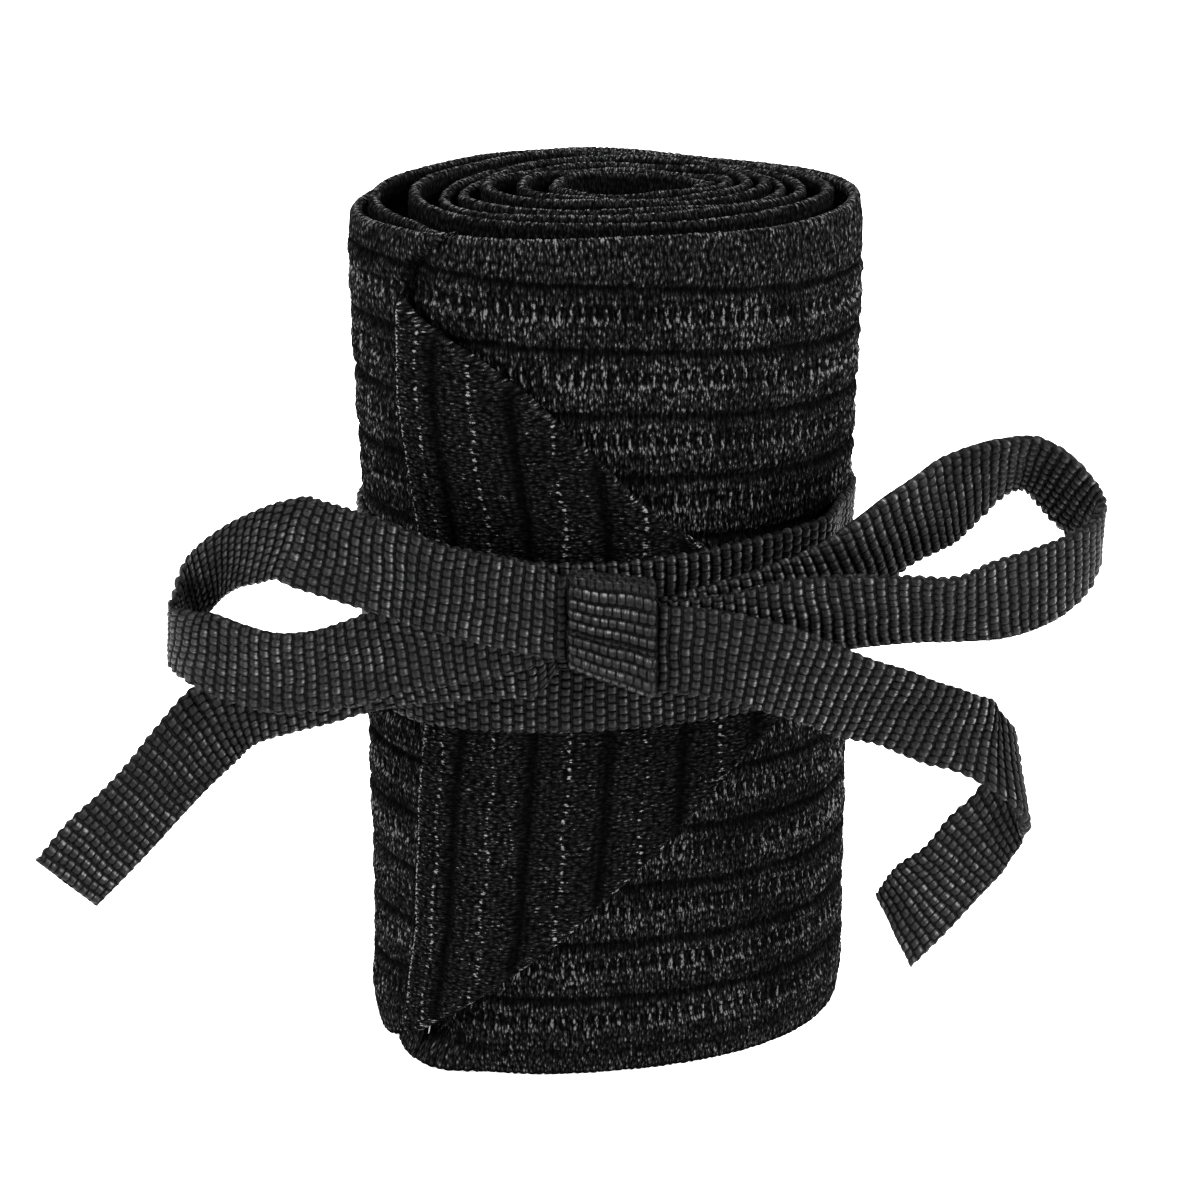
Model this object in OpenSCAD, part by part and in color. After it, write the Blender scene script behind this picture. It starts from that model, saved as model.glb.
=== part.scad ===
// Rolled elastic hand wrap, standing on one edge and tied round the waist with a woven tape in a bow.
// Millimetres, +Z up along the roll, -Y towards the bow, origin under the middle of roll, strap and knot.

/* [Band] */
// Width of the flat band, which is the height of the roll
band_w = 100; // [80:1:120]
// Thickness of the knitted web
band_t = 1.2; // [1:0.05:1.25]
// How far the second lap stands above the outer one
second_lift = 0.6; // [0:0.1:1]
// How far the middle turns stand above the outer one
middle_lift = 1.1; // [0:0.1:2]
// How far the core turns stand above the outer one
core_lift = 2; // [0:0.1:3]

/* [Tie] */
// Width of the woven tape
tape_w = 10; // [8:0.5:10]
// Thickness of the woven tape
tape_t = 1; // [0.6:0.1:1]
// Height of the middle of the strap's upper turn
strap_upper_z = 61.5; // [60:0.5:63]
// Height of the middle of the strap's lower turn
strap_lower_z = 50.3; // [48:0.5:50.5]

/* [Hidden] */

// ---- Plan of the roll ----
// Centre of the roll's outer outline
roll_centre = [-1, 2.8];
// The outline is a mean radius with an oval, a three-sided and a four-sided swelling
mean_r = 24.4;
oval = [2.9, 0.8];
three_sided = [1.4, -1.2];
four_sided = [0.4, 0.8];
// Hollow left in the middle of the core
hollow_centre = [3.3, -1.8];
hollow_half = [7.6, 3.6];
// Layers counted from the outer face (0) to the hollow (8)
layers = 8;
// Share of the wall that each layer has outside the hollow, on the slack sides of the roll
slack_share = [[0, 1], [1, 0.91], [2, 0.74], [3, 0.55], [4, 0.45], [5, 0.35], [6, 0.22], [7, 0.1], [8, 0]];
// Angle at which the outer lap is complete, and turns of band inside it
fold_angle = 214;
band_turns = 7.7;
// Angle step along a turn
turn_step = 10;

function outline_r(a) =
    mean_r + oval.x * cos(2 * a) + oval.y * sin(2 * a)
    + three_sided.x * cos(3 * a) + three_sided.y * sin(3 * a)
    + four_sided.x * cos(4 * a) + four_sided.y * sin(4 * a);
function outline_at(a, out) = roll_centre + (outline_r(a) + out) * [cos(a), sin(a)];
function hollow_at(a) = hollow_centre + [hollow_half.x * cos(a), hollow_half.y * sin(a)];
function ease(x) = let (u = max(0, min(1, x))) u * u * (3 - 2 * u);

// Layer that the band lies in after m turns from the complete outer lap inwards: the outer lap keeps to
// the outline for most of a turn and then drops one layer under its own end
function layer_at(m) = m < 1 ? ease((m - 0.93) / 0.07) : m;
// The front is pulled tight, so its layers are evenly spaced; the other sides are slack
function tightness(a) = pow(max(0, -sin(a)), 2);
function share(a, j) = tightness(a) * (1 - j / layers) + (1 - tightness(a)) * lookup(j, slack_share);
function band_at(m) =
    let (a = fold_angle - 360 * m)
    let (s = share(a, layer_at(m)))
    hollow_at(a) * (1 - s) + outline_at(a, 0) * s;
function band_normal(m) =
    let (d = band_at(m + 0.004) - band_at(m - 0.004))
    [-d.y, d.x] / norm(d);
// A point on the band, so far in from its outer face
function band_inside(m, depth) = band_at(m) + band_normal(m) * -depth;

module band_stretch(m0, m1, lift, depth0, depth1) {
    steps = ceil((m1 - m0) * 360 / turn_step);
    path = [for (i = [0:steps]) m0 + (m1 - m0) * i / steps];
    outer = [for (m = path) band_inside(m, depth0)];
    inner = [for (i = [steps:-1:0]) band_inside(path[i], depth1)];
    translate([0, 0, lift])
        linear_extrude(band_w)
            polygon(concat(outer, inner));
}

// ---- Sweep of a four-sided section along rings of points ----
function half_face(a, b, c, d, half) = half == 0 ? [a, b, c] : [a, c, d];
module swept(rings) {
    n = len(rings);
    sides = [for (i = [0:n - 2]) for (k = [0:3]) for (half = [0, 1])
        half_face(4 * i + k, 4 * i + (k + 1) % 4, 4 * i + 4 + (k + 1) % 4, 4 * i + 4 + k, half)];
    ends = [[3, 2, 1], [3, 1, 0], [4 * n - 4, 4 * n - 3, 4 * n - 2], [4 * n - 4, 4 * n - 2, 4 * n - 1]];
    polyhedron([for (r = rings) for (p = r) p], concat(sides, ends));
}

// ---- Pointed end: the corners of the outer lap are folded out at 45 degrees to meet in the middle ----
point_turn = 120;
point_steps = 24;
flap_gap = 0.08;
tip_half = 1;
function point_angle(i) = fold_angle + point_turn * i / point_steps;
function point_half(i) = tip_half + (band_w / 2 - tip_half) * (1 - i / point_steps);
// The point carries on from the outer lap and climbs one layer, over the start of the lap beneath it
climb_turn = 24;
function climb(a) = (band_t + flap_gap) * ease((a - fold_angle) / climb_turn) - band_t;
function lap_ring(a, out, thick, z0, z1) =
    let (q = outline_at(a, out))
    let (p = outline_at(a, out + thick))
    [[q.x, q.y, z0], [p.x, p.y, z0], [p.x, p.y, z1], [q.x, q.y, z1]];
module lap_piece(layer, z_low, z_high, first, last) {
    swept([for (i = [first:last])
        let (a = point_angle(i))
        lap_ring(a, climb(a) + (layer - 1) * (band_t + flap_gap), band_t,
            band_w / 2 + z_low * point_half(i), band_w / 2 + z_high * point_half(i))]);
}

// ---- Tape ----
// Gap between the strap and what it presses on
strap_gap = 0.3;
// The strap goes over the point and its flaps, and eases back to the roll on either side
flap_height = 2 * (band_t + flap_gap);
function over_flaps(a) = flap_height * ease((a - 200) / 30) * (1 - ease((a - 330) / 20));
function strap_out(a) = over_flaps(a) + strap_gap;
strap_step = 10;
module strap(z) {
    swept_loop([for (a = [0:strap_step:350]) lap_ring(a, strap_out(a), tape_t, z - tape_w / 2, z + tape_w / 2)]);
}
module swept_loop(rings) {
    n = len(rings);
    sides = [for (i = [0:n - 1]) for (k = [0:3]) for (half = [0, 1])
        let (j = (i + 1) % n)
        half_face(4 * i + k, 4 * i + (k + 1) % 4, 4 * j + (k + 1) % 4, 4 * j + k, half)];
    polyhedron([for (r = rings) for (p = r) p], sides);
}

// Each list is a run of places along the tape, from the knot outwards: [upper edge, lower edge]
// Left loop: out along the upper band, round the turn and back along the lower one, which starts nearer
loop_left_rings = [
    [[-5.6, -26, 66], [-5.6, -26, 56]], [[-8.5, -26, 67.5], [-9.5, -26, 57]],
    [[-17.5, -26, 69.5], [-19, -26, 59.5]], [[-22, -26, 71.5], [-23, -26, 61]],
    [[-25, -25.5, 72.5], [-26.5, -25.5, 62]], [[-30.5, -23.5, 73.5], [-33.5, -23.5, 63.5]],
    [[-32, -22.5, 73.5], [-35.5, -22.5, 64]], [[-35, -21.5, 72.5], [-37.5, -21, 63]],
    [[-38, -20.5, 71], [-40, -18.5, 61.5]], [[-41, -19, 69], [-42, -16, 59.5]],
    [[-44, -18, 66.5], [-43.5, -14, 57.5]], [[-46, -17, 64], [-45.5, -12.5, 55]],
    [[-47, -17.5, 61], [-47, -11.5, 53]], [[-47.5, -18, 59], [-48.5, -12.5, 51]],
    [[-46.5, -19.5, 59.5], [-48.5, -14.5, 50.5]], [[-44.5, -20.5, 59.5], [-47, -17.5, 50.5]],
    [[-42.5, -21, 59.5], [-44, -20.5, 50]], [[-39, -23, 59], [-40, -21.5, 49]],
    [[-35.5, -24, 58.5], [-36, -22.5, 48.5]], [[-31.5, -24.5, 59], [-31.5, -23, 49]],
    [[-28, -24, 60], [-27, -24, 50]], [[-24, -24, 61.5], [-22.5, -24, 51.5]],
    [[-19, -24.5, 62.5], [-17.5, -24.5, 52.5]], [[-13.5, -24.5, 64], [-12.5, -24.5, 53.5]],
    [[-5.6, -24.8, 65], [-5.6, -24.8, 55.5]]
];
// Right loop: out along the far band, round the turn and back along the near one
loop_right_rings = [
    [[5.6, -23.8, 62.5], [5.6, -23.8, 52.5]], [[11, -23.5, 64], [13, -23.5, 54.5]],
    [[16.5, -22.5, 65.5], [19, -22.5, 56]], [[22, -21.5, 67.5], [26, -20.5, 58.5]],
    [[26, -20.5, 70], [29.5, -18, 61]], [[29.5, -18.5, 72], [32.5, -16, 63]],
    [[33, -16, 73.5], [35.5, -14.5, 64]], [[36, -13, 74.5], [38, -12.5, 64.5]],
    [[40, -11.5, 75.5], [41, -9, 66]], [[43.5, -11, 76], [44, -5.5, 67.5]],
    [[47, -9.5, 75.5], [46.5, -3.5, 67.5]], [[50.5, -9, 73.5], [48.5, -3, 65.5]],
    [[53, -9.5, 71], [50.5, -4, 63.5]], [[54, -11, 69.5], [53, -5.5, 61.5]],
    [[53.5, -13.5, 68.5], [54.5, -8, 60.5]], [[52, -15, 67.5], [53, -11.5, 58.5]],
    [[49, -16.5, 66.5], [50, -15, 57]], [[45.5, -18.5, 66], [46.5, -17, 56]],
    [[41, -21, 65.5], [42.5, -18.5, 55.5]], [[37, -23, 64.5], [37.5, -19, 55.5]],
    [[32, -24, 65], [33, -20.5, 56]], [[25.5, -25, 65.5], [27, -22, 56]],
    [[19.5, -25.2, 65.3], [21, -23.6, 55.5]], [[12.5, -25, 63.5], [13.5, -24.6, 53.5]],
    [[5.6, -24.9, 62.5], [5.6, -24.9, 52.5]]
];
// Left tail: behind the loop, then down and outwards to its cut end
tail_left_rings = [
    [[-5.6, -23.6, 60.5], [-5.6, -23.6, 50.5]], [[-12, -23.2, 60], [-11.5, -23.2, 50.5]],
    [[-18.5, -23, 60], [-17.5, -23, 50]], [[-23, -22.5, 59.5], [-21.5, -22.5, 49.5]],
    [[-28, -21.5, 58], [-26.5, -21.5, 48]], [[-31.5, -21, 57], [-30.5, -21, 46.5]],
    [[-35.5, -20, 55.5], [-34.5, -20, 45]], [[-40.5, -18.6, 52.5], [-39, -18.8, 43]],
    [[-46, -18.2, 49.5], [-41.5, -18.3, 40.5]], [[-50, -20.5, 45.5], [-45, -18, 37]],
    [[-53, -22, 42], [-48, -19, 34]], [[-56, -23, 39], [-51, -20.5, 31]],
    [[-59.5, -24, 36], [-54, -21.5, 28]], [[-63, -25.5, 32], [-57.5, -22, 24.5]]
];
// Right tail: out in front, then folded back on itself and down to its cut end
tail_right_rings = [
    [[5.6, -26, 62.5], [5.6, -26, 52.5]], [[12.5, -26.5, 62], [11.5, -26.5, 52]],
    [[19.5, -27, 60.5], [17, -27, 50.5]], [[24, -27, 58.5], [21, -26.5, 49]],
    [[28, -26.5, 56.5], [24.5, -25.5, 47]], [[32, -26, 55], [28.5, -25, 46]],
    [[35, -25.5, 53.5], [31.5, -24.5, 44.5]], [[37.5, -25, 52.5], [34.5, -24, 43]],
    [[39.5, -24.5, 51.5], [37.5, -23.5, 42]], [[41.5, -23.5, 50.5], [40.5, -23.5, 40.5]],
    [[42, -23, 49.5], [43, -23, 38.5]], [[43, -22.5, 48], [45, -22.5, 36.5]],
    [[44, -21, 45.5], [46.5, -21, 33.5]], [[43.5, -19.5, 43], [46.5, -19.5, 32]],
    [[42.5, -19.5, 40.5], [46.5, -18.5, 30.5]], [[40.5, -19.5, 37], [45.5, -18, 28.5]],
    [[38, -19, 34], [44.5, -18, 26.5]], [[35.5, -18.5, 30], [42, -17.5, 23]],
    [[32.5, -17.5, 27], [39, -17.5, 19]], [[30.5, -16.5, 23], [35, -16.5, 13.5]]
];

function unit(v) = v / norm(v);
function middle(r) = (r[0] + r[1]) / 2;
function along(rings, i) = middle(rings[min(i + 1, len(rings) - 1)]) - middle(rings[max(i - 1, 0)]);
function ribbon_section(rings, i) =
    let (upper = rings[i][0])
    let (lower = rings[i][1])
    let (half_t = unit(cross(along(rings, i), upper - lower)) * tape_t / 2)
    [lower - half_t, lower + half_t, upper + half_t, upper - half_t];
module ribbon(rings) {
    swept([for (i = [0:len(rings) - 1]) ribbon_section(rings, i)]);
}

// ---- Knot ----
knot_half = 5.3;
knot_low = 51.3;
knot_high = 65.2;
knot_back = -22.1;
knot_front = -27.7;
knot_slant = 0.2;
function knot_side_z(x, z) = z - knot_slant * x;
knot_core_gap = 0.05;
module slanted_block(half_x, y0, y1, z0, z1) {
    rotate([90, 0, 0])
        translate([0, 0, -y1])
            linear_extrude(y1 - y0)
                polygon([
                    [-half_x, knot_side_z(-half_x, z0)], [half_x, knot_side_z(half_x, z0)],
                    [half_x, knot_side_z(half_x, z1)], [-half_x, knot_side_z(-half_x, z1)]
                ]);
}

// ---- Stitching ----
stitch_w = 0.25;
stitch_len = 1.6;
stitch_pitch = 2.2;
// Box of stitches that holds the tape to the tip of the point
anchor_angle = 315;
anchor_rows = [-3, 0, 3];
anchor_count = 4;
anchor_w = 0.14;
hem_len = 0.12;
hem_gap = 0.1;
hem_rows = 36;

module band_outer_lap() {
    color([0.07, 0.07, 0.075]) band_stretch(0, 1, 0, 0, band_t);
}
module band_second_lap() {
    color([0.08, 0.08, 0.085]) band_stretch(1, 2.1, second_lift, 0, band_t);
}
module band_middle_turns() {
    color([0.09, 0.09, 0.095]) band_stretch(2.1, 4.1, middle_lift, 0, band_t);
}
module band_core_turns() {
    color([0.1, 0.1, 0.105]) band_stretch(4.1, band_turns, core_lift, 0, band_t);
}
module band_inner_hem() {
    color([0.1, 0.1, 0.105])
        band_stretch(band_turns - hem_len, band_turns, core_lift, band_t + hem_gap, 2 * band_t);
}
module hem_stitching() {
    m = band_turns - hem_len / 2;
    p = band_inside(m, 2 * band_t + stitch_w / 2);
    n = band_normal(m);
    color([0.13, 0.13, 0.13])
        for (i = [0:hem_rows - 1])
            translate([p.x, p.y, core_lift + 10 + stitch_pitch * i])
                rotate([0, 0, atan2(n.y, n.x)])
                    cube([stitch_w, stitch_w, stitch_len], center = true);
}
module band_point() {
    color([0.07, 0.07, 0.075]) lap_piece(1, -1, 1, 0, point_steps);
}
module point_flap_upper() {
    color([0.055, 0.055, 0.06]) lap_piece(2, 0.01, 1, 2, point_steps - 1);
}
module point_flap_lower() {
    color([0.055, 0.055, 0.06]) lap_piece(2, -1, -0.01, 2, point_steps - 1);
}
module tie_anchor_stitching() {
    color([0.13, 0.13, 0.13])
        for (row = anchor_rows)
            for (i = [0:anchor_count - 1])
                rotate_about(anchor_angle, 5 * (i - (anchor_count - 1) / 2), row);
}
module rotate_about(a, da, row) {
    p = outline_at(a + da, flap_height + 0.12);
    d = outline_at(a + da + 1, flap_height) - outline_at(a + da - 1, flap_height);
    translate([p.x, p.y, strap_lower_z + row])
        rotate([0, 0, atan2(d.y, d.x)])
            cube([1, anchor_w, stitch_w], center = true);
}
module tie_strap_upper() {
    color([0.11, 0.11, 0.115]) strap(strap_upper_z);
}
module tie_strap_lower() {
    color([0.11, 0.11, 0.115]) strap(strap_lower_z);
}
module tie_knot_wrap() {
    color([0.13, 0.13, 0.135])
        difference() {
            slanted_block(knot_half, knot_front, knot_back, knot_low, knot_high);
            slanted_block(knot_half + 1, knot_front + tape_t, knot_back - tape_t,
                knot_low + tape_t, knot_high - tape_t);
        }
}
module tie_knot_core() {
    color([0.1, 0.1, 0.105])
        slanted_block(knot_half - 0.3, knot_front + tape_t + knot_core_gap, knot_back - tape_t - knot_core_gap,
            knot_low + tape_t + knot_core_gap, knot_high - tape_t - knot_core_gap);
}
module tie_loop_left() {
    color([0.12, 0.12, 0.125]) ribbon(loop_left_rings);
}
module tie_loop_right() {
    color([0.12, 0.12, 0.125]) ribbon(loop_right_rings);
}
module tie_tail_left() {
    color([0.1, 0.1, 0.105]) ribbon(tail_left_rings);
}
module tie_tail_right() {
    color([0.11, 0.11, 0.115]) ribbon(tail_right_rings);
}

band_outer_lap();
band_second_lap();
band_middle_turns();
band_core_turns();
band_inner_hem();
hem_stitching();
band_point();
point_flap_upper();
point_flap_lower();
tie_anchor_stitching();
tie_strap_upper();
tie_strap_lower();
tie_knot_wrap();
tie_knot_core();
tie_loop_left();
tie_loop_right();
tie_tail_left();
tie_tail_right();
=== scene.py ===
"""Looks for the tied roll of elastic band.

Works in millimetres in the part's own frame, and makes its meshes in metres.
"""

import math

import bpy
import numpy as np
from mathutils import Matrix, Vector


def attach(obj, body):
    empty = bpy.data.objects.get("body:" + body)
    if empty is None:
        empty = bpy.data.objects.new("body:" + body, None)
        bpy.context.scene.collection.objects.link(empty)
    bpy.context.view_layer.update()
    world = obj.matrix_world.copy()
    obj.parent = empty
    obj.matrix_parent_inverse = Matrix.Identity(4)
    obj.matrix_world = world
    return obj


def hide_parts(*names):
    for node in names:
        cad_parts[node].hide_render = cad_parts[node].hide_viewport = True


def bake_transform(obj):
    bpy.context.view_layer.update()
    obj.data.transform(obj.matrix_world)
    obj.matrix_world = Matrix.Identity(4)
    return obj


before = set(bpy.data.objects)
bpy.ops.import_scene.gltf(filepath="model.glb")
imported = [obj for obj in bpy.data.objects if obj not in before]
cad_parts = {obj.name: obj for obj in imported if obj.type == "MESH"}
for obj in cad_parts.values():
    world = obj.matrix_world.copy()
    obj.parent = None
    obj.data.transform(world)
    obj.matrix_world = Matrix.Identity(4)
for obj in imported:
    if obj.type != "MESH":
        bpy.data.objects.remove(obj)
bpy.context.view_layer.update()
MM = 0.001
A = np.array


# ---------------------------------------------------------------- numbers
def ease(x):
    u = np.clip(x, 0, 1)
    return u * u * (3 - 2 * u)


def hashed(xi, yi, seed):
    h = (xi.astype(np.int64) * 374761393 + yi.astype(np.int64) * 668265263 + seed * 974634777) & 0xFFFFFFFF
    h = ((h ^ (h >> 13)) * 1274126177) & 0xFFFFFFFF
    return ((h ^ (h >> 16)) & 0xFFFF) / 65535.0


def noise(x, y, seed=0):
    """Smooth value noise from 0 to 1."""
    xi, yi = np.floor(x), np.floor(y)
    u, v = ease(x - xi), ease(y - yi)
    a, b = hashed(xi, yi, seed), hashed(xi + 1, yi, seed)
    c, d = hashed(xi, yi + 1, seed), hashed(xi + 1, yi + 1, seed)
    return (a * (1 - u) + b * u) * (1 - v) + (c * (1 - u) + d * u) * v


def unit(v):
    return v / np.maximum(np.linalg.norm(v, axis=-1, keepdims=True), 1e-9)


def bump(x, w):
    return np.exp(-((x / w) ** 2))


# ---------------------------------------------------------------- the roll's plan, as in the CAD
CENTRE = A([-1.0, 2.8])
HOLLOW, HOLLOW_HALF = A([3.3, -1.8]), A([7.6, 3.6])
SLACK = [1, 0.91, 0.74, 0.55, 0.45, 0.35, 0.22, 0.1, 0]
FOLD, TURNS, WIDTH, BAND_T = 214.0, 7.7, 100.0, 1.3
WAIST = 56  # height that the tie pinches


def outline_r(a):
    a = np.radians(a)
    return (24.4 + 2.9 * np.cos(2 * a) + 0.8 * np.sin(2 * a) + 1.4 * np.cos(3 * a) - 1.2 * np.sin(3 * a)
            + 0.4 * np.cos(4 * a) + 0.8 * np.sin(4 * a))


def polar(a):
    a = np.radians(a)
    return np.stack([np.cos(a), np.sin(a)], -1)


def outline(a, out=0.0):
    return CENTRE + (outline_r(a) + out)[..., None] * polar(a)


def layer(m, later=0.0):
    """Layers in from the outline after m turns. The step in to the second layer can start a little later."""
    return np.where(m < 1, ease((m - 0.93 - later) / (0.07 - later)), m)


def band_at(m, later=0.0):
    a = FOLD - 360 * m
    tight = np.maximum(0, -np.sin(np.radians(a))) ** 2
    j = layer(m, later)
    s = tight * (1 - j / 8) + (1 - tight) * np.interp(j, range(9), SLACK)
    return (HOLLOW + HOLLOW_HALF * polar(a)) * (1 - s)[..., None] + outline(a) * s[..., None]


def band_normal(m):
    d = unit(band_at(m + 0.004) - band_at(m - 0.004))
    return np.stack([-d[..., 1], d[..., 0]], -1)


def slack_out(a, z):
    """How far the outer lap stands out from its plan: pinched in by the tie, wavy elsewhere."""
    r = np.radians(a)
    waist = -1.0 * bump(z - WAIST, 11) - 0.25 * bump(z - WAIST, 26)
    wave = 0.3 * np.sin(2 * r + 0.06 * z) * np.sin(z / 17 + r) + 0.2 * np.sin(3 * r + 1 - z / 29)
    foot = 0.45 * ease((22 - z) / 22) - 0.5 * ease((4 - z) / 4)
    return waist + wave * 0.8 + foot - 0.35 * ease((z - 96) / 4)


def climb(a):
    """How far the outer lap's end rides up over the lap beneath."""
    return 1.3 * ease((a - 212) / 20)


# ---------------------------------------------------------------- knit and weave
RIB, RIB_TOP, WALE = 7.056, 95.25, 1.27
PITCH, BLOCK, HALF_TAPE = 1.26, 1.0, 5.0  # the tape's weave, along and across it, and half its width


def knit(s, z, x, seed=1):
    """Height in mm and tone of the ribbed face at s along the band and z up it. Rows droop a little towards +X."""
    slope = -0.043 + 0.033 * ((RIB_TOP - z) / RIB - 6.5) / 6.5
    zz = z - slope * x + 0.22 * (noise(s / 1.3, z / 3.0, seed + 11) - 0.5)
    ph = (RIB_TOP - zz) / RIB
    dg = (ph - np.round(ph)) * RIB - 0.35
    dm = (ph - np.floor(ph) - 0.5) * RIB
    body = ease((zz - 2.6) / 1.2) * ease((RIB_TOP + 0.8 - zz) / 1.0)
    s1 = s + 0.42 * (noise(s / 2.3, zz / 2.4, seed) - 0.5) + 0.22 * (noise(s / 0.8, zz / 0.9, seed + 1) - 0.5)
    c = s1 / WALE
    col = np.floor(c)
    f = c - col - 0.5
    # legs of the stitches, a V in each wale
    lean = zz / 1.15 + 0.8 * np.abs(f) + 0.5 * hashed(col, col * 0, seed + 5)
    row = np.floor(lean)
    v = lean - row - 0.5
    own = hashed(col * 2 + (f > 0), row, seed + 7)
    leg = (np.abs(f) - 0.26) / 0.26
    yarn = np.sqrt(np.clip(1 - leg ** 2 * 0.98, 0, 1)) * np.clip(1 - (2 * v) ** 4, 0, 1) ** 0.5
    yarn = yarn * (0.7 + 0.45 * own)
    # openwork: upright bars with small dark gaps between them
    start = 1.0 + 0.7 * hashed(col, np.floor(ph), seed + 8)
    bars = ease((dm + start) / 0.3) * ease((0.75 - dm) / 0.3) * body
    gap = bump(np.abs(f) - 0.28, 0.14) * bars
    bar = bump(f, 0.12) * bars
    groove = bump(dg, 0.5) * body
    bead = bump(dm - 0.45, 0.34) * body
    rough = noise(s / 0.34, zz / 0.8, seed + 2)
    h = 0.26 * yarn * (1 - 0.6 * bars) - 0.22 * gap + 0.12 * bar + 0.10 * bead - 0.40 * groove + 0.10 * body
    h += 0.24 * (rough - 0.5) + 0.20 * (noise(s / 5.0, zz / 4.0, seed + 3) - 0.5)
    wale = 0.55 + 0.6 * bump(np.abs(f) - 0.22, 0.2)
    # painted shade: the tone drops in the gaps between the bars and, on the next line, in the grooves between the
    # ribs
    tone = (0.18 + 0.85 * yarn * wale) * (1 - 0.9 * gap) + 1.3 * bar + 0.6 * bead * (0.4 + own)
    tone = tone * (1 - 0.8 * groove) * (0.4 + 1.2 * rough) * (0.7 + 0.6 * noise(s / 6, zz / 4, seed + 6))
    # selvages: plain upright stitches
    edge = 1 - ease((RIB_TOP + 0.6 - zz) / 0.9) * ease((zz - 2.4) / 0.9)
    cord = np.abs(np.cos(np.pi * (s1 / 0.92 + 0.25 * np.sin(zz * 1.7)))) ** 0.6
    h = h * (1 - edge) + edge * (0.20 * cord + 0.16 * (rough - 0.5) + 0.02)
    tone = tone * (1 - edge) + edge * (0.25 + 0.75 * cord) * (0.5 + 0.9 * rough)
    return h, np.clip(tone, 0.02, 2.5)


def weave(s, c, seed, side=1.0):
    """Height in mm and tone of the tape at s along it and c across it, and the place in the weave, for its material.
    Each block has a painted highlight, a bright stripe in its tone, towards one side of it, side +1 or -1."""
    s1 = s + 0.16 * (noise(s / 3.0, c / 2.5, seed) - 0.5) + 0.05 * np.sin(c * 1.1 + seed)
    i = np.floor(s1 / PITCH)
    a = s1 / PITCH - i - 0.5
    c1 = c + 0.14 * (noise(c / 1.6, i * 0.73, seed + 1) - 0.5)
    c1 = c1 + 0.12 * (hashed(i, i * 0, seed + 2) - 0.5)
    b = c1 / BLOCK + 0.5 * (i % 2)
    k = np.floor(b)
    b = b - k - 0.5
    own = hashed(i, k, seed + 3)
    pa = np.sqrt(np.clip(1 - (a / (0.45 + 0.04 * own - 0.09 * (2 * b) ** 4)) ** 2, 0, 1))
    pb = np.clip(1 - (np.abs(b) / 0.5) ** 3.2, 0, 1) ** 0.6
    fibre = np.sin(2 * np.pi * (c / 0.19 + 1.3 * own + 0.25 * np.sin(s / 0.3)))
    h = (0.44 + 0.08 * own) * pa * (0.4 + 0.6 * pb) + 0.014 * fibre * pa * pb
    h += 0.04 * (noise(s / 0.35, c / 0.35, seed + 4) - 0.5)
    # painted shade: the tone falls to its lowest in the gaps between the domed columns
    tone = 0.05 + 0.34 * pa * (0.4 + 0.6 * pb) * (0.7 + 0.5 * own) + 0.08 * fibre * pa * pb
    # painted highlight: a bright stripe near one side of each block and a faint one near the other, standing in for
    # the gleam from the side lamps
    highlight_gain = 0.45 + 0.9 * noise(s / 4, c / 4, seed + 6)
    painted_highlight = 1.25 * bump(a - 0.24 * side, 0.13) * (0.6 + 0.6 * own) + 0.22 * bump(a + 0.33 * side, 0.08)
    tone = tone + highlight_gain * pb * painted_highlight
    tone = tone * (0.7 + 0.6 * noise(s / 0.2, c / 0.28, seed + 5))
    rim = ease((np.abs(c) - HALF_TAPE + 0.4) / 0.4)
    h = h * (1 - rim) + rim * 0.2 * pa
    return h, np.clip(tone * (1 - 0.1 * rim), 0.02, 2.5), np.stack([s1, c1], -1)


# ---------------------------------------------------------------- meshes
def arc_length(p):
    return np.concatenate([[0], np.cumsum(np.linalg.norm(np.diff(p, axis=0), axis=1))])


def zipped(ring):
    """Triangles that close a ring, zipped up from its first point to the one furthest from it."""
    k = len(ring)
    far = int(np.argmax(np.linalg.norm(ring - ring[0], axis=1)))
    f, b = list(range(0, far + 1)), list(range(k - 1, far - 1, -1))
    tf, tb = (arc_length(ring[q]) / max(arc_length(ring[q])[-1], 1e-9) for q in (f, b))
    i = j = 0
    out = []
    while i < len(f) - 1 or j < len(b) - 1:
        if i < len(f) - 1 and (j == len(b) - 1 or tf[i + 1] <= tb[j + 1]):
            out.append((f[i], f[i + 1], b[j]))
            i += 1
        else:
            out.append((f[i], b[j + 1], b[j]))
            j += 1
    return A([t for t in out if len(set(t)) == 3])


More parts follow.
